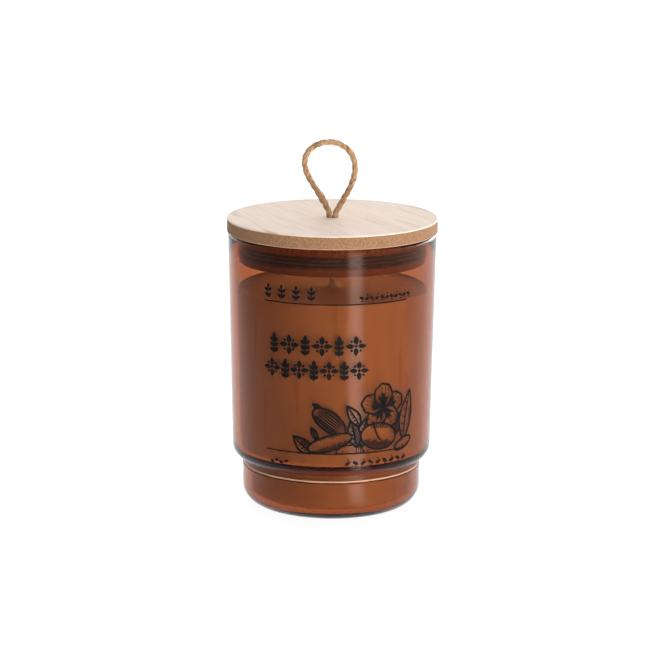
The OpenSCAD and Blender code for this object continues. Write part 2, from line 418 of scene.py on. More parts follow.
def make_world():
    """A white studio: bright low down, dim high up, brightest behind the jar and dimmer on the left."""
    world = bpy.data.worlds.new("studio")
    bpy.context.scene.world = world
    world.use_nodes = True
    tree = world.node_tree
    where = tree.nodes.new("ShaderNodeTexCoord")
    split = node(tree, "SeparateXYZ", {"Vector": where.outputs["Generated"]})
    aside = node(
        tree, "MapRange", {"Value": split.outputs["X"]}, interpolation_type="SMOOTHSTEP",
        From_Min=-0.5, From_Max=0.7, To_Min=0.25, To_Max=1.0
    )
    level = node(
        tree, "MapRange", {"Value": split.outputs["Z"]}, interpolation_type="SMOOTHSTEP",
        From_Min=0.2, From_Max=0.5, To_Min=LOW_LIGHT, To_Max=HIGH_LIGHT
    )
    back = node(
        tree, "MapRange", {"Value": split.outputs["Y"]}, interpolation_type="SMOOTHSTEP",
        From_Min=0.1, From_Max=0.8, To_Min=1.0, To_Max=BACK_LIGHT
    )
    background = tree.nodes["Background"]
    background.inputs["Color"].default_value = (1, 1, 1, 1)
    front = math_node(tree, "MULTIPLY", aside.outputs["Result"], level.outputs["Result"])
    light = math_node(tree, "MULTIPLY", front, back.outputs["Result"])
    tree.links.new(light, background.inputs["Strength"])


def make_floor():
    """A white glowing table with one much brighter strip, which the glass mirrors as a soft column."""
    material, tree, shader = new_material("pale_floor")
    shader.inputs["Base Color"].default_value = (0.15, 0.15, 0.15, 1)
    shader.inputs["Roughness"].default_value = 0.9
    shader.inputs["Specular IOR Level"].default_value = 0.1
    shader.inputs["Emission Color"].default_value = (1, 1, 1, 1)
    where = tree.nodes.new("ShaderNodeTexCoord").outputs["Object"]
    split = node(tree, "SeparateXYZ", {"Vector": where})
    ahead = math_node(tree, "MULTIPLY", split.outputs["Y"], -1.0)
    turn = math_node(tree, "ARCTAN2", split.outputs["X"], ahead)
    aside = math_node(tree, "ABSOLUTE", math_node(tree, "SUBTRACT", turn, math.radians(STRIP_TURN)))
    strip = node(
        tree, "MapRange", {"Value": aside}, interpolation_type="SMOOTHSTEP",
        From_Min=math.radians(2), From_Max=math.radians(12), To_Min=STRIP_GLOW, To_Max=0.0
    )
    distance = node(tree, "VectorMath", {0: where}, operation="LENGTH")
    fade = node(
        tree, "MapRange", {"Value": distance.outputs["Value"]}, interpolation_type="SMOOTHSTEP",
        From_Min=CLEAR_M, From_Max=LIT_M
    )
    behind = node(
        tree, "MapRange", {"Value": math_node(tree, "ABSOLUTE", turn)},
        interpolation_type="SMOOTHSTEP",
        From_Min=math.radians(85), From_Max=math.radians(140), To_Max=BACK_GLOW
    )
    both = math_node(tree, "ADD", strip.outputs["Result"], behind.outputs["Result"])
    extra = math_node(tree, "MULTIPLY", both, fade.outputs["Result"])
    aslant = math_node(tree, "MULTIPLY", split.outputs["Y"], SLANT)
    left = node(
        tree, "MapRange", {"Value": math_node(tree, "ADD", split.outputs["X"], aslant)},
        interpolation_type="SMOOTHSTEP",
        From_Min=-0.5, From_Max=-0.14, To_Min=LEFT_GLOW, To_Max=FLOOR_GLOW
    )
    total = math_node(tree, "ADD", extra, left.outputs["Result"])
    tree.links.new(total, shader.inputs["Emission Strength"])
    model = bmesh.new()
    edge = TABLE_REACH_M / MM
    model.faces.new([model.verts.new(p) for p in (
        (-edge, -edge, 0), (edge, -edge, 0), (edge, edge, 0), (-edge, edge, 0)
    )])
    floor = bpy.data.objects.new("floor", finish_mesh("floor", model, 30))
    floor.data.materials.append(material)
    bpy.context.collection.objects.link(floor)


# ---------------------------------------------------------------- jute cord

def jute_material():
    """Pale brown fibres that run along the twine, darker between the strands."""
    material, tree, shader = new_material("jute")
    place = node(tree, "SeparateXYZ", {"Vector": node(tree, "UVMap").outputs["UV"]})
    around, along = place.outputs["X"], place.outputs["Y"]
    fibre = math_node(tree, "MULTIPLY", around, 46.0)
    run = math_node(tree, "MULTIPLY", along, 0.55)
    vector = node(tree, "CombineXYZ", {"X": fibre, "Y": run}).outputs["Vector"]
    streaks = noise(tree, vector, 1.0, 3.0, 0.6)
    patches = noise(tree, mapped(tree), 260.0, 2.0)
    color = ramp(
        tree, weighted(tree, streaks, patches, 0.3),
        (0.34, (0.11, 0.044, 0.017)), (0.48, (0.38, 0.2, 0.092)), (0.64, (0.7, 0.45, 0.245))
    )
    tree.links.new(color, shader.inputs["Base Color"])
    shader.inputs["Roughness"].default_value = 0.75
    shader.inputs["Specular IOR Level"].default_value = 0.25
    shader.inputs["Sheen Weight"].default_value = 0.25
    bump(tree, shader, streaks, 0.8, 0.25)
    return material


def strand_radius(angle):
    """Radius of a three-strand twine of unit radius, at an angle round it."""
    part = 2 * math.pi / 3
    off = (angle + part / 2) % part - part / 2
    return 0.4 * math.cos(off) + math.sqrt(0.6 ** 2 - (0.4 * math.sin(off)) ** 2)


def twine_radius(points, radius, dice):
    """ring_radius for add_tube: three twisted strands of a slightly uneven radius."""
    step = route_length(points) / (len(points) - 1)
    waves = [(dice.uniform(3, 11), dice.uniform(0, 6.28)) for _ in range(4)]

    def ring_radius(i, angle):
        along = i * step
        uneven = 1 + 0.02 * sum(math.sin(along * 6.28 / period + phase) for period, phase in waves)
        turn = 2 * math.pi * along / CORD_PITCH
        return radius(along) * uneven * strand_radius(angle - turn)

    return ring_radius


def loop_radius(along):
    """Radius of the loop's twine, which is a little looser 6 mm up its left leg."""
    above = along - (PIVOT_Z - KNOT_MID)
    return 1.06 * CORD_R * (1 + 0.22 * math.exp(-((above - 6) / 3.2) ** 2))


def add_fibres(model, points, count, dice, reach):
    """Adds loose fibres that curl away from the twine; reach is their least and greatest length."""
    frames = carried_frames(points)
    for _ in range(count):
        i = dice.randrange(2, len(points) - 2)
        tangent, side, up = frames[i]
        angle = dice.uniform(0, 2 * math.pi)
        out = side * math.cos(angle) + up * math.sin(angle)
        across = tangent.cross(out)
        way = dice.choice((-1, 1))
        length = dice.uniform(*reach)
        lift = dice.uniform(0.15, 0.75) * length
        drift = dice.uniform(-0.5, 0.5) * length
        start = points[i] + out * CORD_R * 0.8
        bend = [
            start + tangent * way * length * t + (out * lift + across * drift) * t ** 2
            for t in (0, 0.25, 0.5, 0.75, 1)
        ]
        thick = dice.uniform(0.022, 0.042)
        add_tube(model, bend, lambda k, _: thick * (1 - 0.15 * k), 3)


def make_cord():
    """The pull loop, its loose fibres, and the knot that holds it in the plug."""
    dice = random.Random(5)
    jute = jute_material()
    under = [z - PIVOT_Z for z in (KNOT_MID, KNOT_MID + 3, KNOT_MID + 6, KNOT_MID + 9)]
    route = [(-LEG_X, 0, z) for z in under] + LOOP_ROUTE + [(LEG_X, 0, z) for z in reversed(under)]
    points = [p + Vector((0, 0, PIVOT_Z)) for p in resample(route, 0.2)]
    model = bmesh.new()
    add_tube(model, points, twine_radius(points, loop_radius, dice), 30)
    loop = make_object("jute_loop", finish_mesh("jute_loop", model, 60), jute)

    shown = [p for p in points if p.z > PIVOT_Z + 1]
    model = bmesh.new()
    add_fibres(model, shown, 420, dice, (0.6, 2.2))
    fibres = make_object("jute_loop_fibres", finish_mesh("jute_loop_fibres", model, 60), jute)

    turns = [2 * math.pi * k / 96 for k in range(97)]
    tied = [Vector((
        (KNOT_RING_R + KNOT_SWING * math.cos(3 * t)) * math.cos(2 * t),
        (KNOT_RING_R + KNOT_SWING * math.cos(3 * t)) * math.sin(2 * t),
        KNOT_MID + KNOT_RISE * math.sin(3 * t)
    )) for t in turns]
    model = bmesh.new()
    knot_points = resample(tied, 0.3)
    add_tube(model, knot_points, twine_radius(knot_points, lambda _: 1.03, dice), 24)
    for side in (-1, 1):
        tail_points = resample([(side * x, y, KNOT_LOW + z) for x, y, z in TAIL_ROUTE], 0.3)
        add_tube(model, tail_points, twine_radius(tail_points, lambda _: 0.95, dice), 24)
        add_fibres(model, tail_points, 30, dice, (0.5, 1.2))
    knot = make_object("jute_knot", finish_mesh("jute_knot", model, 60), jute, "lid")

    for piece in (loop, fibres):
        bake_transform(piece)
    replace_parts(loop, "cord_loop")
    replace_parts(knot, "cord_knot")


# ---------------------------------------------------------------- glass, wax and wick

def glass_material():
    """Amber glass: clear at its surface, and browner the further light runs inside it."""
    material, tree, shader = new_material("amber_glass")
    shader.inputs["Base Color"].default_value = (1, 1, 1, 1)
    shader.inputs["Roughness"].default_value = 0.0
    shader.inputs["IOR"].default_value = 1.5
    shader.inputs["Transmission Weight"].default_value = 1.0
    shader.inputs["Specular Tint"].default_value = (0.25, 0.25, 0.25, 1)
    depth = node(tree, "VolumeAbsorption", Density=GLASS_DENSITY, Color=(*GLASS_COLOR, 1))
    tree.links.new(depth.outputs["Volume"], tree.nodes["Material Output"].inputs["Volume"])
    return material


def outer_profile():
    """The outer surface from the middle of the base up to the lip's round."""
    arc_x = BODY_R - SHOULDER_R
    reach = SHOULDER_R + NECK_FILLET
    fillet_x = FOOT_R + NECK_FILLET
    fillet_z = SHOULDER_Z - math.sqrt(reach ** 2 - (fillet_x - arc_x) ** 2)
    lean = math.degrees(math.atan2(SHOULDER_Z - fillet_z, fillet_x - arc_x))
    punt_sphere = (PUNT_R ** 2 + PUNT_RISE ** 2) / (2 * PUNT_RISE)
    points = []
    for i in range(11):
        r = PUNT_R * i / 10
        points.append((r, math.sqrt(punt_sphere ** 2 - r ** 2) - punt_sphere + PUNT_RISE))
    points += arc(FOOT_R - FOOT_EDGE_R, FOOT_EDGE_R, FOOT_EDGE_R, -90, 0, 16)
    points += arc(fillet_x, fillet_z, NECK_FILLET, 180, 180 - lean, 6)
    points += arc(arc_x, SHOULDER_Z, SHOULDER_R, -lean, 0, 16)[1:]
    for i in range(1, 12):
        z = SHOULDER_Z + (LIP_Z - SHOULDER_Z) * i / 12
        points.append((outer_r(z), z))
    return points


def inner_profile(top, grow=0.0):
    """The hollow's surface from the middle of the floor up to a height, moved outwards by grow."""
    ledge_r = inner_r(LEDGE_Z + LEDGE_CORNER_R)
    points = [(0, FLOOR_Z - grow), (10, FLOOR_Z - grow), (20, FLOOR_Z - grow)]
    points += arc(FOOT_BORE_R - FLOOR_EDGE_R, FLOOR_Z + FLOOR_EDGE_R, FLOOR_EDGE_R + grow, -90, 0, 9)
    points += arc(
        FOOT_BORE_R + LEDGE_NOSE_R, LEDGE_Z - LEDGE_NOSE_R, LEDGE_NOSE_R - grow, 180, 90, 6
    )
    start = LEDGE_Z + LEDGE_CORNER_R
    points += arc(ledge_r - LEDGE_CORNER_R, start, LEDGE_CORNER_R + grow, -90, 0, 8)
    for i in range(1, 12):
        z = start + (top - start) * i / 11
        points.append((inner_r(z) + grow, z))
    return points


def make_glass():
    """The jar: one closed body of glass, turned from its outer surface, its lip and its hollow."""
    lip = arc(outer_r(LIP_Z) - LIP_R, LIP_Z, LIP_R, 0, 180, 14)
    profile = outer_profile() + lip + inner_profile(LIP_Z)[-2::-1]
    mesh = lathe("amber_glass_jar", profile, 256)
    jar = make_object("amber_glass_jar", mesh, glass_material(), "jar")
    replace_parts(jar, "glass_jar")


def bead_material():
    """The bead's glass: a ridge with a painted highlight, pale on its crest, and painted shade, dark
    along its lower edge.
    """
    material, tree, shader = new_material("mould_bead")
    where = tree.nodes.new("ShaderNodeTexCoord").outputs["Object"]
    split = node(tree, "SeparateXYZ", {"Vector": where})
    blotches = noise(tree, mapped(tree, 0.0, (1, 1, 0.2)), 160.0, 3.0, 0.6)
    height = math_node(tree, "DIVIDE", split.outputs["Z"], MM)
    rise = math_node(tree, "SUBTRACT", height, SEAM_Z - SEAM_UNDER)
    uneven = math_node(tree, "MULTIPLY", math_node(tree, "SUBTRACT", blotches, 0.5), 0.5)
    # Painted light: near-black painted shade low on the bead, a pale painted highlight on its crest.
    color = ramp(
        tree, math_node(tree, "ADD", rise, uneven),
        (0.4, (0.015, 0.006, 0.003)), (0.5, (0.28, 0.1, 0.045)), (0.66, (0.55, 0.3, 0.19))
    )
    tree.links.new(color, shader.inputs["Base Color"])
    shader.inputs["Roughness"].default_value = 0.5
    shader.inputs["Specular IOR Level"].default_value = 0.1
    bump(tree, shader, blotches, 0.2, 0.05)
    return material


def make_bead():
    """The fine ridge that the mould's joint leaves round the foot, a hair clear of the glass."""
    back_r = FOOT_R + 0.01
    profile = [(back_r, SEAM_Z - SEAM_UNDER), (back_r, SEAM_Z + SEAM_OVER)]
    for i in range(9):
        turn = math.radians(80 - 20 * i)
        reach = SEAM_OVER if turn > 0 else SEAM_UNDER
        profile.append((FOOT_R + 0.02 + SEAM_H * math.cos(turn), SEAM_Z + reach * math.sin(turn)))
    mesh = lathe("mould_bead", profile, 256, closed=True)
    make_object("mould_bead", mesh, bead_material(), "jar")


def wax_material():
    """Cream wax with a faint mottle, painted light that makes its upward faces paler than its side, and a
    few faint rusty streaks down its side.
    """
    material, tree, shader = new_material("wax")
    mottle = noise(tree, mapped(tree, 0.4, (1, 1, 0.35)), 90.0, 4.0, 0.6)
    side = ramp(tree, mottle, (0.3, (0.68, 0.62, 0.54)), (0.7, (0.78, 0.73, 0.65)))
    # Painted light: a paler copy of the wax colour, mixed in on upward faces so the top looks lit.
    top = ramp(tree, mottle, (0.3, (0.9, 0.82, 0.7)), (0.7, (0.97, 0.91, 0.8)))
    normal = tree.nodes.new("ShaderNodeNewGeometry").outputs["Normal"]
    facing_up_for_painted_light = node(tree, "SeparateXYZ", {"Vector": normal})
    both = tint(tree, math_node(tree, "MAXIMUM", facing_up_for_painted_light.outputs["Z"], 0.0), side, top)
    streak = noise(tree, mapped(tree, 0.0, (1, 1, 0.12)), 170.0, 2.0, 0.5)
    line = node(tree, "MapRange", {"Value": streak}, From_Min=0.64, From_Max=0.7, To_Max=0.35)
    color = tint(tree, line.outputs["Result"], both, (0.55, 0.3, 0.2))
    tree.links.new(color, shader.inputs["Base Color"])
    shader.inputs["Roughness"].default_value = 0.45
    shader.inputs["Specular IOR Level"].default_value = 0.15
    bump(tree, shader, mottle, 0.25, 0.2)
    return material


def make_wax():
    """The poured wax, a hair clear of the glass, which climbs its wall and its wick a little."""
    edge = inner_r(WAX_Z) - AIR
    top = [
        (edge - 0.3, WAX_Z + 0.2), (edge - 1.2, WAX_Z - 0.1), (30, WAX_Z - 0.25),
        (15, WAX_Z - 0.3), (4, WAX_Z - 0.15), (2.2, WAX_Z + 0.15), (1.5, WAX_Z + 0.7),
        (WICK_R, WAX_Z + 1.3), (0, WAX_Z + 1.3)
    ]
    mesh = lathe("wax_body", inner_profile(WAX_Z + 0.5, -AIR) + top, 192)
    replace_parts(make_object("wax_body", mesh, wax_material(), "jar"), "wax_fill")


def wick_material():
    """Off-white cotton threads along each strand."""
    material, tree, shader = new_material("cotton_wick")
    place = node(tree, "SeparateXYZ", {"Vector": node(tree, "UVMap").outputs["UV"]})
    vector = node(tree, "CombineXYZ", {
        "X": math_node(tree, "MULTIPLY", place.outputs["X"], 18.0),
        "Y": math_node(tree, "MULTIPLY", place.outputs["Y"], 0.8)
    }).outputs["Vector"]
    threads = noise(tree, vector, 1.0, 2.0)
    color = ramp(tree, threads, (0.3, (0.6, 0.53, 0.42)), (0.65, (0.9, 0.86, 0.77)))
    tree.links.new(color, shader.inputs["Base Color"])
    shader.inputs["Roughness"].default_value = 0.8
    bump(tree, shader, threads, 0.7, 0.15)
    return material


def make_wick():
    """Three cotton strands braided flat, cut square at both ends."""
    model = bmesh.new()
    steps = int((WICK_TOP - WICK_LOW) / 0.4)
    for strand in range(3):
        phase = 2 * math.pi * strand / 3
        points = []
        for i in range(steps + 1):
            z = WICK_LOW + (WICK_TOP - WICK_LOW) * i / steps
            t = 2 * math.pi * z / WICK_PITCH + phase
            points.append(Vector((0.6 * math.sin(t), 0.32 * math.sin(2 * t), z)))
        add_tube(
            model, points, lambda i, angle: WICK_STRAND_R * (1 + 0.04 * math.sin(5 * angle + 0.8 * i)), 12
        )
    mesh = finish_mesh("braided_wick", model, 60)
    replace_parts(make_object("braided_wick", mesh, wick_material(), "jar"), "wick")


# ---------------------------------------------------------------- print on the glass

def on_glass(s, z, lift):
    """The point on the glass at s millimetres round from -Y towards +X, at a height."""
    turn = s / BODY_R
    r = outer_r(z) + lift
    return (r * math.sin(turn), -r * math.cos(turn), z)


def inside(point, outline):
    """True if a point lies in a closed outline."""
    x, y = point
    hit = False
    for (ax, ay), (bx, by) in zip(outline, outline[1:] + outline[:1]):
        if (ay > y) != (by > y) and x < (bx - ax) * (y - ay) / (by - ay) + ax:
            hit = not hit
    return hit


def split_line(points, step):
    """Points no more than a step apart along a line."""
    fine = [points[0]]
    for (ax, ay), (bx, by) in zip(points, points[1:]):
        parts = max(1, math.ceil(math.hypot(bx - ax, by - ay) / step))
        fine += [(ax + (bx - ax) * i / parts, ay + (by - ay) * i / parts) for i in range(1, parts + 1)]
    return fine


class Print:
    """Ink strokes on the glass, added from the front to the back: a mask hides what comes after it."""

    def __init__(self):
        self.model = bmesh.new()
        self.masks = []
        self.weight = 1.0               # scales the width of every stroke

    def ribbon(self, points, widths):
        """A closed thin band of ink along points, with a width at each."""
        rings = []
        for i, (s, z) in enumerate(points):
            before, after = points[max(i - 1, 0)], points[min(i + 1, len(points) - 1)]
            ds, dz = after[0] - before[0], after[1] - before[1]
            run = math.hypot(ds, dz) or 1
            ns, nz = -dz / run * widths[i] / 2, ds / run * widths[i] / 2
            corners = ((1, INK_LIFT), (0, INK_LIFT), (-1, INK_LIFT), (-1, INK_ROOT), (1, INK_ROOT))
            rings.append([
                self.model.verts.new(on_glass(s + k * ns, z + k * nz, lift)) for k, lift in corners
            ])
        for a, b in zip(rings, rings[1:]):
            for k in range(5):
                n = (k + 1) % 5
                self.model.faces.new((a[k], a[n], b[n], b[k]))
        self.model.faces.new(rings[0])
        self.model.faces.new(rings[-1])

    def stroke(self, points, width, blunt=0.35, step=0.5):
        """A line that tapers to a blunt share of its width at both ends, cut where a mask covers it."""
        points = split_line(points, step)
        width *= self.weight
        count = len(points) - 1
        run = []
        for i, point in enumerate(points + [None]):
            if point and not any(inside(point, mask) for mask in self.masks):
                t = i / count if count else 0.5
                run.append((point, width * (blunt + (1 - blunt) * min(1, 6 * t, 6 * (1 - t)))))
            else:
                if len(run) > 1:
                    self.ribbon([p for p, _ in run], [w for _, w in run])
                run = []

    def dot(self, s, z, size):
        """A round dot."""
        if any(inside((s, z), mask) for mask in self.masks):
            return
        angles = [math.pi * k / 6 for k in range(7)]
        points = [(s - size / 2 * math.cos(a), z) for a in angles]
        self.ribbon(points, [max(size * math.sin(a), 0.05) for a in angles])

    def blade(self, s, z, length, width, turn):
        """A solid leaf from its foot at s, z, at an angle in degrees from +s."""
        along = (math.cos(math.radians(turn)), math.sin(math.radians(turn)))
        count = max(6, int(length / 0.45))
        steps = range(count + 1)
        points = [(s + along[0] * length * i / count, z + along[1] * length * i / count) for i in steps]
        widths = [max(0.06, width * math.sin(math.pi * (i / count) ** 0.8) ** 0.9) for i in steps]
        self.ribbon(points, widths)

    def outline(self, shape, width):
        """A line round a closed shape."""
        self.stroke(shape + shape[:1], width, blunt=1)

    def hatch(self, shape, turn, gap, width, keep):
        """Parallel lines at an angle inside a shape, where keep(s, z) is true."""
        middle = (sum(p[0] for p in shape) / len(shape), sum(p[1] for p in shape) / len(shape))
        reach = max(math.dist(p, middle) for p in shape)
        along = (math.cos(math.radians(turn)), math.sin(math.radians(turn)))
        lines = int(reach / gap)
        step = 0.4
        steps = int(2 * reach / step)
        for k in range(-lines, lines + 1):
            run = []
            for i in range(steps + 2):
                t = -reach + step * i
                point = (
                    middle[0] + along[0] * t - along[1] * k * gap,
                    middle[1] + along[1] * t + along[0] * k * gap
                )
                if i <= steps and inside(point, shape) and keep(*point):
                    run.append(point)
                else:
                    if len(run) > 2:
                        self.stroke(run, width, blunt=0.3)
                    run = []


def oval(s, z, half_s, half_z, turn=0.0, wave=0.0, waves=0, count=40):
    """Outline of an ellipse, turned by an angle, with an optional wavy edge."""
    c, d = math.cos(math.radians(turn)), math.sin(math.radians(turn))
    shape = []
    for k in range(count):
        a = 2 * math.pi * k / count
        swell = 1 + wave * math.sin(waves * a)
        x, y = half_s * swell * math.cos(a), half_z * swell * math.sin(a)
        shape.append((s + x * c - y * d, z + x * d + y * c))
    return shape


def leaf(foot, tip, left, right):
    """(outline, midrib) of a pointed leaf, from its ends and its greatest width to left and right."""
    count = 14
    (ax, ay), (bx, by) = foot, tip
    length = math.dist(foot, tip)
    nx, ny = -(by - ay) / length, (bx - ax) / length
    sides = []
    for half in (left, -right):
        sides.append([
            (
                ax + (bx - ax) * i / count + nx * half * math.sin(math.pi * (i / count) ** 0.85),
                ay + (by - ay) * i / count + ny * half * math.sin(math.pi * (i / count) ** 0.85)
            ) for i in range(count + 1)
        ])
    rib = [((p[0] + q[0]) / 2, (p[1] + q[1]) / 2) for p, q in zip(*sides)]
    return sides[0] + sides[1][-2:0:-1], rib


def draw_leaf(ink, foot, tip, left, right, dice, dark=0.5):
    """An engraved leaf: outline, midrib, side veins and hatching along its lower side."""
    shape, rib = leaf(foot, tip, left, right)
    ink.outline(shape, 0.55)
    ink.stroke(rib[:-1], 0.42)
    turn = math.degrees(math.atan2(tip[1] - foot[1], tip[0] - foot[0]))
    lean = math.radians(turn)

    def shaded(s, z):
        side = (z - foot[1]) * math.cos(lean) - (s - foot[0]) * math.sin(lean)
        return side < (left - right) / 2 - (1 - dark) * right + dice.uniform(-0.3, 0.3)

    ink.hatch(shape, turn + 50, 0.62, 0.27, shaded)
    for i in range(2, len(rib) - 2, 2):
        edge = shape[i + 1]
        vein_end = (rib[i][0] * 0.35 + edge[0] * 0.65, rib[i][1] * 0.35 + edge[1] * 0.65)
        ink.stroke([rib[i], vein_end], 0.3, 0.2)
    ink.masks.append(shape)


def draw_seed(ink, middle, half, turn, dice, ridges=0, cleft=False):
    """An engraved seed: outline, shading along its lower side, and lengthwise ridges or a cleft."""
    shape = oval(*middle, *half, turn)
    lean = math.radians(turn)
    ink.outline(shape, 0.58)

    def across(s, z):
        return ((z - middle[1]) * math.cos(lean) - (s - middle[0]) * math.sin(lean)) / half[1]

    for k in range(ridges):
        off = -0.75 + 1.5 * (k + 0.5) / ridges
        line = []
        for i in range(13):
            t = -0.8 + 1.6 * i / 12
            x, y = half[0] * t, half[1] * off * math.sqrt(max(0, 1 - t * t))
            line.append((
                middle[0] + x * math.cos(lean) - y * math.sin(lean),
                middle[1] + x * math.sin(lean) + y * math.cos(lean)
            ))
        ink.stroke(line, 0.34, 0.2)
    if cleft:
        line = [
            (
                middle[0] - half[0] * 0.35 + 0.5 * i,
                middle[1] + half[1] * (0.95 - 0.2 * i) + 0.12 * (i - 4) ** 2 - 0.6
            ) for i in range(9)
        ]
        ink.stroke(line, 0.42, 0.4)
    ink.hatch(shape, turn + 62, 0.6, 0.27, lambda s, z: across(s, z) < -0.3 + dice.uniform(-0.12, 0.12))
    ink.hatch(shape, turn + 112, 0.7, 0.25, lambda s, z: across(s, z) > 0.52 + dice.uniform(-0.1, 0.1))
    ink.masks.append(shape)


def draw_blossom(ink, middle, reach, dice):
    """A five-petalled open blossom with stamens and shaded petal roots."""
    ms, mz = middle
    petals, stamens = 5, 14

    def ray(angle, start, end):
        return [(ms + r * math.cos(angle), mz + r * math.sin(angle)) for r in (start, end)]

    for k in range(stamens):
        a = 2 * math.pi * k / stamens + 0.2
        tip = (ms + 2.1 * math.cos(a), mz + 1.8 * math.sin(a))
        ink.stroke([(ms + 0.6 * math.cos(a), mz + 0.5 * math.sin(a)), tip], 0.2, 0.6)
        ink.dot(*tip, 0.42)
    ink.dot(ms, mz, 1.0)
    for k in range(petals):
        turn = 90 + 360 * k / petals
        a = math.radians(turn)
        at = (ms + reach * 0.54 * math.cos(a), mz + reach * 0.54 * math.sin(a))
        shape = oval(*at, reach * 0.5, reach * 0.43, turn, 0.035, 7, 44)
        ink.outline(shape, 0.55)
        for j in range(-4, 5):
            ink.stroke(ray(a + 0.115 * j, reach * 0.12, reach * dice.uniform(0.45, 0.74)), 0.36, 0.15)
        for j in (-3, -1, 1, 3):
            ink.stroke(ray(a + 0.11 * j, reach * 0.9, reach * dice.uniform(0.72, 0.82)), 0.2, 0.2)
        ink.masks.append(shape)


def draw_still_life(ink):
    """A blossom, leaves and seeds on the lower rule, from the front to the back."""
    dice = random.Random(11)
    draw_seed(ink, (-0.6, 32.3), (8.7, 2.9), 18, dice)
    draw_seed(ink, (18.3, 34.2), (7.4, 5.0), -8, dice, cleft=True)
    draw_seed(ink, (29.6, 29.9), (4.4, 1.9), 24, dice)
    draw_leaf(ink, (29.6, 31.2), (32.8, 50.2), 3.4, 2.6, dice)
    draw_seed(ink, (-0.9, 40.6), (7.2, 3.6), -38, dice, ridges=6)
    draw_leaf(ink, (-6.4, 28.6), (-14.6, 34.4), 2.9, 1.9, dice, 0.8)
    draw_leaf(ink, (-5.2, 33.4), (-7.6, 38.2), 1.0, 1.0, dice)
    draw_leaf(ink, (10.6, 38.6), (5.6, 46.6), 1.8, 2.2, dice)
    draw_blossom(ink, (20.0, 45.2), 8.6, dice)
    draw_leaf(ink, (9.5, 30.5), (7.2, 41.5), 2.4, 2.4, dice, 1.3)
    draw_leaf(ink, (11.5, 30.5), (13.2, 42.0), 2.6, 2.2, dice, 1.3)
    draw_leaf(ink, (24.5, 33.0), (27.6, 42.0), 2.0, 2.0, dice, 1.3)
    draw_leaf(ink, (-4.2, 45.6), (-6.9, 47.3), 0.8, 0.8, dice)
    half_seed = [p for p in oval(7.0, 28.2, 5.4, 3.2, 0) if p[1] >= 28.2]
    ink.outline(half_seed, 0.36)
    ink.hatch(half_seed, 100, 0.75, 0.2, lambda s, z: z < 29.2 or s > 9.0)
    for _ in range(46):
        s = dice.uniform(-11, 33)
        ink.dot(s, dice.uniform(28.5, 29.6), 0.3)


def sprig(ink, s, low_z, tall, weight, pairs):
    """An upright sprig: a stem with pairs of solid leaves and a bud on top."""
    spread = 42
    ink.stroke([(s, low_z), (s, low_z + tall * 0.8)], weight * 0.5, blunt=0.9)
    size = tall / (pairs + 1) * 1.15
    for k in range(pairs):
        foot = low_z + tall * (0.08 + 0.72 * k / pairs)
        for side in (spread, 180 - spread):
            ink.blade(s, foot, size, weight * 1.15, side)
    ink.blade(s, low_z + tall * 0.66, tall * 0.34, weight * 1.2, 90)


def rosette(ink, s, z, reach, weight):
    """Four solid leaves round a dot, with four small dots between them."""
    for turn in (0, 90, 180, 270):
        along = math.radians(turn)
        ink.blade(s + 0.7 * math.cos(along), z + 0.7 * math.sin(along), reach - 0.7, weight * 1.5, turn)
    ink.dot(s, z, weight * 0.9)
    for turn in (45, 135, 225, 315):
        along = math.radians(turn)
        ink.dot(s + reach * 0.62 * math.cos(along), z + reach * 0.62 * math.sin(along), weight * 0.75)


def ink_material():
    """Screen ink: a warm near-black that lies a little unevenly."""
    return textured(
        "print_ink", lambda tree: noise(tree, mapped(tree), 900.0, 3.0, 0.6),
        ((0.3, (0.0025, 0.002, 0.002)), (0.7, (0.007, 0.0055, 0.0055))),
        (0.5, 0.65), 0.02, 0.4, 0.08
    )


def make_print():
    """Two rules, two large rows and four small bands of leaf ornament, and a botanical still life."""
    ink = Print()
    for start, end, z in RULES:
        ink.stroke([(start, z), (end, z)], 0.5, blunt=0.8, step=0.8)
    for k in range(4):
        sprig(ink, -24.6 + 5.7 * k, 86.4, 5.6, 0.95, 2)
    for k in range(11):
        ink.blade(9.8 + 1.98 * k, 86.8 if k % 2 else 88.0, 2.0, 1.25, 32 if k % 2 else -32)
        ink.dot(10.8 + 1.98 * k, 88.7 if k % 2 else 86.3, 0.6)
    for k in range(6):
        s = -22.2 + 6.2 * k
        if k % 2:
            rosette(ink, s, 69.4, 3.9, 1.25)
        else:
            sprig(ink, s, 65.5, 8.0, 1.32, 3)
    for k in range(7):
        s = -23.2 + 5.55 * k
        if k % 2:
            sprig(ink, s, 56.2, 7.8, 1.3, 3)
        else:
            rosette(ink, s, 60.0, 3.7, 1.22)
    for k in range(4):
        ink.blade(-24.4 + 2.0 * k, 24.0, 1.9, 1.1, 20 if k % 2 else -20)
    for k in range(9):
        ink.blade(5.0 + 3.0 * k, 25.1 if k % 2 else 23.7, 2.7, 1.35, -30 if k % 2 else 30)
        ink.dot(6.2 + 3.0 * k, 23.3 if k % 2 else 25.6, 0.65)
    ink.weight = 1.4
    draw_still_life(ink)
    mesh = finish_mesh("screen_print", ink.model, 60)
    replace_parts(make_object("screen_print", mesh, ink_material(), "jar"), "printed_rules")


# ---------------------------------------------------------------- lid, seal and tab

def fibreboard_material():
    """Pressed wood fibres: brown specks of two sizes."""

    def heights(tree):
        place = mapped(tree)
        return weighted(tree, noise(tree, place, 1900.0, 2.0, 0.7), noise(tree, place, 4200.0, 2.0), 0.4)

    return textured(
        "fibreboard", heights,
        ((0.32, (0.12, 0.05, 0.022)), (0.48, (0.27, 0.14, 0.073)), (0.66, (0.41, 0.233, 0.13))),
        (0.9, 0.7), 0.12, 0.7, 0.2
    )


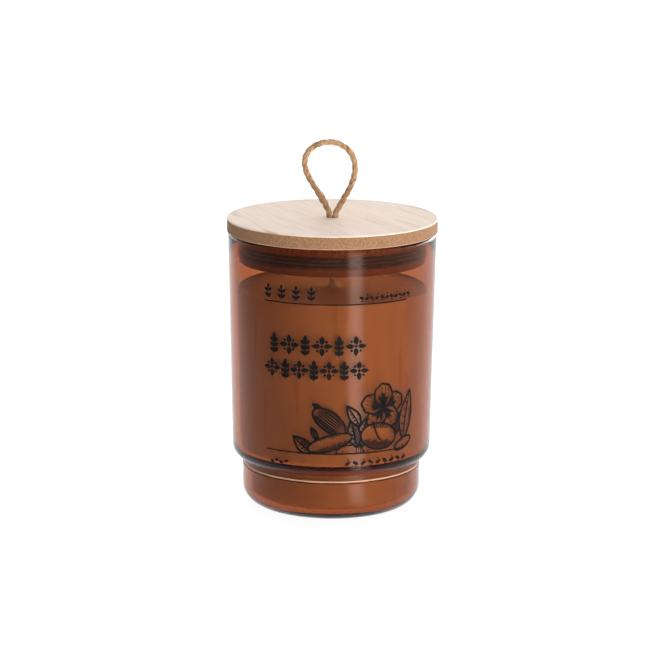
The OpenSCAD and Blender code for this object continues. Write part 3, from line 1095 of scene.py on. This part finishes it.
def veneer_material(name, dark, pale, streak):
    """Sliced wood along the grain: long faint bands, fine pores, and streaks of a darker colour."""
    material, tree, shader = new_material(name)
    bands = noise(tree, mapped(tree, GRAIN_TURN, (0.12, 1, 1)), 150.0, 4.0, 0.55)
    plain = ramp(tree, bands, (0.3, dark), (0.62, pale))
    pores = noise(tree, mapped(tree, GRAIN_TURN, (0.05, 1, 1)), 800.0, 2.0, 0.5)
    marks = noise(tree, mapped(tree, GRAIN_TURN, (0.11, 1, 1)), 170.0, 3.0, 0.5)
    pore = node(tree, "MapRange", {"Value": pores}, From_Min=0.56, From_Max=0.68, To_Max=0.3)
    mark = node(tree, "MapRange", {"Value": marks}, From_Min=0.59, From_Max=0.7, To_Max=0.75)
    most = math_node(tree, "MAXIMUM", pore.outputs["Result"], mark.outputs["Result"])
    tree.links.new(tint(tree, most, plain, streak), shader.inputs["Base Color"])
    shader.inputs["Roughness"].default_value = 0.62
    shader.inputs["Specular IOR Level"].default_value = 0.3
    bump(tree, shader, math_node(tree, "SUBTRACT", bands, pore.outputs["Result"]), 0.35, 0.06)
    return material


def make_seal():
    """The silicone ring: a band with three soft lips that reach for the glass."""
    inner, band = PLUG_R - 1.55, PLUG_R - 0.1
    pitch = (SEAL_HIGH - SEAL_LOW) / 3
    profile = [(inner + 0.2, SEAL_LOW), (band - 0.25, SEAL_LOW), (band, SEAL_LOW + 0.1)]
    for i in range(3):
        z = SEAL_LOW + i * pitch
        profile += [
            (band + 0.08, z + 0.2), (band + 0.4, z + 0.36), (SEAL_R - 0.22, z + 0.66),
            (SEAL_R - 0.06, z + 0.76), (SEAL_R, z + 0.87), (SEAL_R - 0.06, z + 0.97),
            (SEAL_R - 0.25, z + 1.0), (band + 0.3, z + 1.04), (band, z + 1.2)
        ]
    profile += [(band, SEAL_HIGH - 0.15), (band - 0.25, SEAL_HIGH), (inner + 0.2, SEAL_HIGH)]
    profile += [(inner, SEAL_HIGH - 0.2), (inner, SEAL_LOW + 0.2)]
    # Near-black grey silicone: painted shade, so the ring stands in for the shadowed gap under the lid.
    silicone = textured(
        "silicone", lambda tree: noise(tree, mapped(tree), 500.0, 2.0),
        ((0.3, (0.10, 0.092, 0.085)), (0.7, (0.16, 0.15, 0.14))), (0.3, 0.45), 0.03, 0.3
    )
    mesh = lathe("silicone_seal", profile, 192, closed=True, sharp=50)
    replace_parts(make_object("silicone_seal", mesh, silicone, "seal"), "lid_seal")


def tinplate_material():
    """Stamped tinplate with a fine circular brush."""
    material, tree, shader = new_material("tinplate")
    where = tree.nodes.new("ShaderNodeTexCoord").outputs["Object"]
    rings = node(
        tree, "TexWave", {"Vector": where}, wave_type="RINGS", rings_direction="Z",
        Scale=900.0, Distortion=1.5, Detail=2.0
    )
    color = ramp(tree, rings.outputs["Fac"], (0.2, (0.5, 0.5, 0.52)), (0.8, (0.68, 0.68, 0.7)))
    tree.links.new(color, shader.inputs["Base Color"])
    shader.inputs["Metallic"].default_value = 1.0
    shader.inputs["Roughness"].default_value = 0.32
    bump(tree, shader, rings.outputs["Fac"], 0.2, 0.02)
    return material


def foam_material():
    """White closed-cell foam."""
    return textured(
        "foam_sticker", lambda tree: noise(tree, mapped(tree), 1800.0, 2.0),
        ((0.3, (0.7, 0.69, 0.66)), (0.7, (0.88, 0.88, 0.86))), (0.7, 0.9), 0.08, 0.6
    )


def finish_nodes():
    """Gives the CAD nodes that keep their own shape their materials."""
    board = fibreboard_material()
    finishes = {
        "lid_veneer": veneer_material(
            "pale_veneer", (0.785, 0.63, 0.515), (0.84, 0.685, 0.57), (0.52, 0.37, 0.24)
        ),
        "lid_backing": veneer_material(
            "backing_veneer", (0.4, 0.235, 0.135), (0.5, 0.31, 0.19), (0.3, 0.17, 0.1)
        ),
        "lid_core": board,
        "lid_plug": board,
        "wick_tab": tinplate_material(),
        "tab_sticker": foam_material()
    }
    for name, material in finishes.items():
        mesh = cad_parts[name].data
        mesh.materials.clear()
        mesh.materials.append(material)


make_camera()
make_cord()
make_world()
make_floor()
for lamp in LAMPS:
    softbox(*lamp)
make_glass()
make_bead()
make_wax()
make_wick()
make_print()
make_seal()
finish_nodes()
bpy.context.scene.view_settings.view_transform = "Standard"
